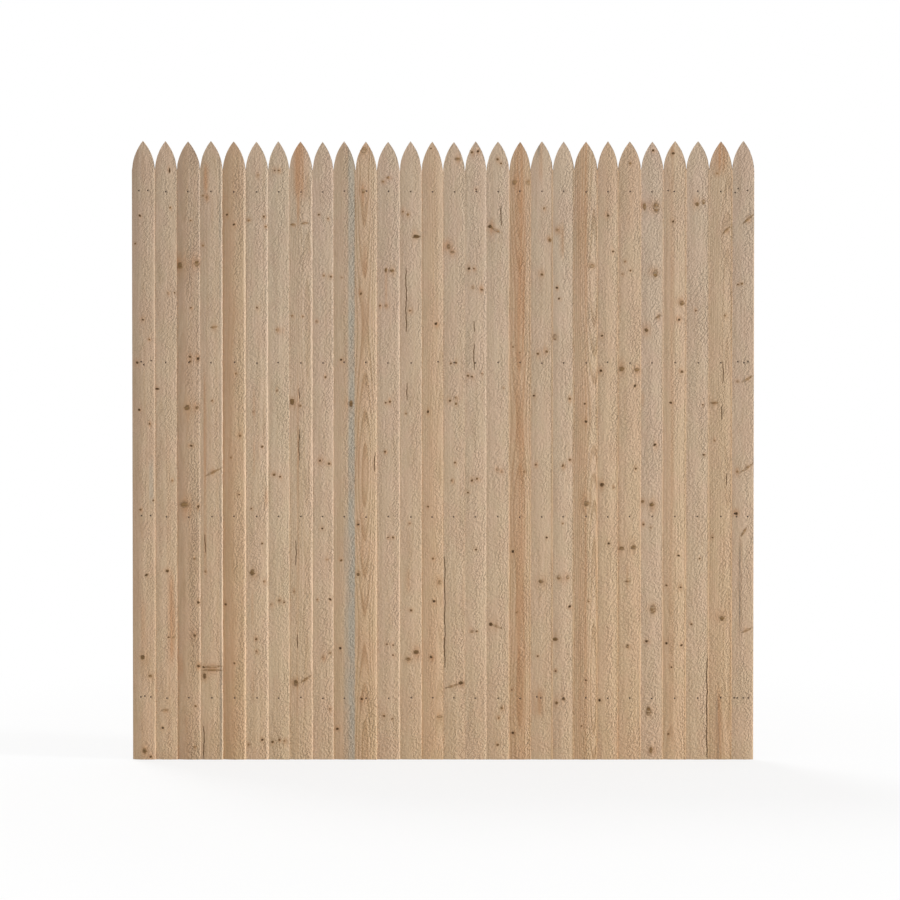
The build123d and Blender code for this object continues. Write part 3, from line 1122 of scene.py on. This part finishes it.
class FENCE_OT_rails(bpy.types.Operator):
    """Model the four backing rails"""

    bl_idname = "fence.rails"
    bl_label = "Make Rails"

    ease = 0.003
    length_cuts = (18, 9)
    width_cuts = 7
    mark_cuts = 2

    def execute(self, context):
        def run(edge):
            """How far an edge runs along the rail."""
            return abs(edge.verts[0].co.x - edge.verts[1].co.x)

        for index, name in enumerate(RAILS):
            low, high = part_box(name)
            deselect_all()
            bpy.ops.mesh.primitive_cube_add(size=1.0)
            rail = bpy.context.object
            rail.name = f"sawn_{name}"
            rail.scale = [high[axis] - low[axis] for axis in range(3)]
            rail.location = [(high[axis] + low[axis]) / 2 for axis in range(3)]
            apply_place(rail)
            edit(rail, "EDGE")
            choose(rail, "edges", lambda edge: run(edge) > 0.5)
            bpy.ops.mesh.bevel(offset=self.ease, segments=3)
            for cuts in self.length_cuts:
                choose(rail, "edges", lambda edge: run(edge) > 0.005)
                bpy.ops.mesh.subdivide(number_cuts=cuts)
            choose(rail, "edges", lambda edge: edge.calc_length() > 0.02)
            bpy.ops.mesh.subdivide(number_cuts=self.width_cuts)
            bpy.ops.object.mode_set(mode="OBJECT")
            board = rail_board(index)
            refine(rail, board, self.mark_cuts)
            roughen(rail, board, 0.0)
            rail.data.materials.append(bpy.data.materials["rail_spruce"])
            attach(rail, "root")
            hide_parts(name)
        return {"FINISHED"}


class FENCE_OT_nails(bpy.types.Operator):
    """Model one nail head and set a copy in every dent"""

    bl_idname = "fence.nails"
    bl_label = "Drive Nails"

    head = 0.0012
    dome = 0.0003
    shank = 0.006
    proud = 0.0001

    def model_nail(self):
        radius = sizes().nail_width / 2
        deselect_all()
        bpy.ops.mesh.primitive_cylinder_add(
            vertices=12, radius=radius, depth=self.head, rotation=(math.radians(90), 0, 0))
        nail = bpy.context.object
        apply_place(nail)
        edit(nail, "FACE")
        choose(nail, "faces", lambda face: face.normal.y < -0.9)
        bpy.ops.mesh.inset(thickness=radius * 0.3)
        bpy.ops.transform.translate(value=(0, -self.dome, 0))
        choose(nail, "faces", lambda face: face.normal.y > 0.9)
        bpy.ops.mesh.inset(thickness=radius * 0.5)
        bpy.ops.mesh.extrude_region_move(TRANSFORM_OT_translate={"value": (0, self.shank, 0)})
        bpy.ops.object.mode_set(mode="OBJECT")
        bpy.ops.object.shade_smooth_by_angle(angle=math.radians(35))
        return nail

    def execute(self, context):
        master = self.model_nail()
        for rail in RAILS:
            rail_low, rail_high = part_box(rail)
            copies = []
            for name in PICKETS:
                board = picket_board(name)
                face = bpy.data.objects[f"sawn_{name}"]
                for across, along in board.nails:
                    x, z = board.middle + across, FOOT_Z + along
                    if not rail_low[2] < z < rail_high[2]:
                        continue
                    hit, spot, _, _ = face.ray_cast((x, -0.5, z), (0, 1, 0))
                    if not hit:
                        raise RuntimeError(f"no face for a nail on {name}")
                    copy = copy_of(master, f"nail_{len(copies)}")
                    copy.location = (x, spot.y - self.proud, z)
                    copies.append(copy)
            make_active(copies[0])
            for copy in copies:
                copy.select_set(True)
            bpy.ops.object.join()
            nails = bpy.context.object
            nails.name = f"nails_{rail}"
            nails.data.name = nails.name
            apply_place(nails)
            nails.data.materials.append(bpy.data.materials["nail_steel"])
            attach(nails, "root")
        bpy.data.objects.remove(master)
        return {"FINISHED"}


class FENCE_OT_stage(bpy.types.Operator):
    """Set the floor, the light and the camera"""

    bl_idname = "fence.stage"
    bl_label = "Set Stage"

    # Strength, angle across and turn of each sun, in degrees
    suns = {"key_light": (2.7, 6.0, (80.0, 0.0, 77.0)), "back_light": (1.0, 20.0, (32.0, 0.0, 215.0))}
    sky_light = 0.66

    floor_width = 40.0
    floor_gap = 0.0005

    # The camera looks down by this pitch, in degrees, at this place of the sheet
    distance = 6.0
    pitch = 0.8
    centre = (450, 449.4)
    sensor_width = 36.0
    sheet_on_sensor = 35.885

    def floor(self):
        deselect_all()
        bpy.ops.mesh.primitive_grid_add(x_subdivisions=8, y_subdivisions=8, size=self.floor_width,
                                        location=(0, 0, FOOT_Z - self.floor_gap))
        floor = bpy.context.object
        floor.name = "floor"
        apply_place(floor)
        material, tree, shader = new_material("pale_floor")
        shader.inputs["Roughness"].default_value = 0.9
        spot = tree.spot()
        pale = tree.mix(tree.speckle(spot, 3.0), (0.84, 0.84, 0.84, 1.0), (0.88, 0.88, 0.88, 1.0))
        tree.put(shader.inputs["Base Color"], pale)

        # To the camera, the floor fades to plain white away from the panel
        away = tree.node("ShaderNodeVectorMath", {0: spot}, operation="LENGTH").outputs["Value"]
        seen = tree.node("ShaderNodeLightPath").outputs["Is Camera Ray"]
        share = tree.times(seen, tree.ramp(away, 1.2, 2.6, 0.78, 1.0))
        white = tree.node("ShaderNodeEmission", {"Color": (1, 1, 1, 1), "Strength": 1.0}).outputs[0]
        mix = tree.node("ShaderNodeMixShader", {0: share, 1: shader.outputs[0], 2: white})
        tree.put(material.node_tree.nodes["Material Output"].inputs["Surface"], mix.outputs[0])
        floor.data.materials.append(material)

    def sun(self, name, strength, angle, turn):
        deselect_all()
        bpy.ops.object.light_add(type="SUN", rotation=[math.radians(part) for part in turn])
        lamp = bpy.context.object
        lamp.name = name
        lamp.data.energy = strength
        lamp.data.angle = math.radians(angle)

    def sky(self):
        """A white sky that is seen in full and lights the panel a little less."""
        world = bpy.data.worlds.new("white_studio")
        bpy.context.scene.world = world
        world.use_nodes = True
        tree = Tree(world.node_tree)
        background = world.node_tree.nodes["Background"].inputs
        path = tree.node("ShaderNodeLightPath").outputs
        mirrored = tree.math("MAXIMUM", path["Is Glossy Ray"], path["Is Transmission Ray"])
        seen = tree.math("MAXIMUM", path["Is Camera Ray"], mirrored)
        background["Color"].default_value = (1, 1, 1, 1)
        tree.put(background["Strength"], tree.ramp(seen, 0.0, 1.0, self.sky_light, 1.0))

    def camera(self):
        deselect_all()
        pitch = math.radians(self.pitch)
        target_x = (self.centre[0] - SHEET_CENTRE_X) * SHEET_UNIT
        target_z = FOOT_Z + (SHEET_FOOT_Y - self.centre[1]) * SHEET_UNIT
        bpy.ops.object.camera_add(
            location=(target_x, BACK_Y - self.distance, target_z + self.distance * math.tan(pitch)),
            rotation=(math.radians(90 - self.pitch), 0, 0))
        camera = bpy.context.object
        camera.data.sensor_width = self.sensor_width
        camera.data.lens = self.sheet_on_sensor * self.distance / math.cos(pitch) / (SHEET_SIZE * SHEET_UNIT)
        bpy.context.scene.camera = camera

    def execute(self, context):
        self.floor()
        for name, (strength, angle, turn) in self.suns.items():
            self.sun(name, strength, angle, turn)
        self.sky()
        self.camera()
        context.scene.view_settings.view_transform = "Standard"
        return {"FINISHED"}


class FENCE_PT_panel(bpy.types.Panel):
    """Sizes, colours and steps of the fence panel"""

    bl_idname = "FENCE_PT_panel"
    bl_label = "Stockade Fence Panel"
    bl_space_type = "VIEW_3D"
    bl_region_type = "UI"
    bl_category = "Fence"

    def draw(self, context):
        for settings in (context.scene.fence_panel_sizes, context.scene.fence_panel_colours):
            box = self.layout.box()
            for key in settings.__annotations__:
                box.prop(settings, key)
        for step in STEPS:
            self.layout.operator(step.bl_idname)


STEPS = (FENCE_OT_wood, FENCE_OT_pickets, FENCE_OT_rails, FENCE_OT_nails, FENCE_OT_stage)
CLASSES = (FencePanelSizes, FencePanelColours, *STEPS, FENCE_PT_panel)


def register():
    for cls in CLASSES:
        bpy.utils.register_class(cls)
    bpy.types.Scene.fence_panel_sizes = PointerProperty(type=FencePanelSizes)
    bpy.types.Scene.fence_panel_colours = PointerProperty(type=FencePanelColours)


def unregister():
    del bpy.types.Scene.fence_panel_colours
    del bpy.types.Scene.fence_panel_sizes
    for cls in reversed(CLASSES):
        bpy.utils.unregister_class(cls)


def main():
    register()
    bpy.ops.fence.wood()
    bpy.ops.fence.pickets()
    bpy.ops.fence.rails()
    bpy.ops.fence.nails()
    bpy.ops.fence.stage()


if __name__ == "__main__":
    main()
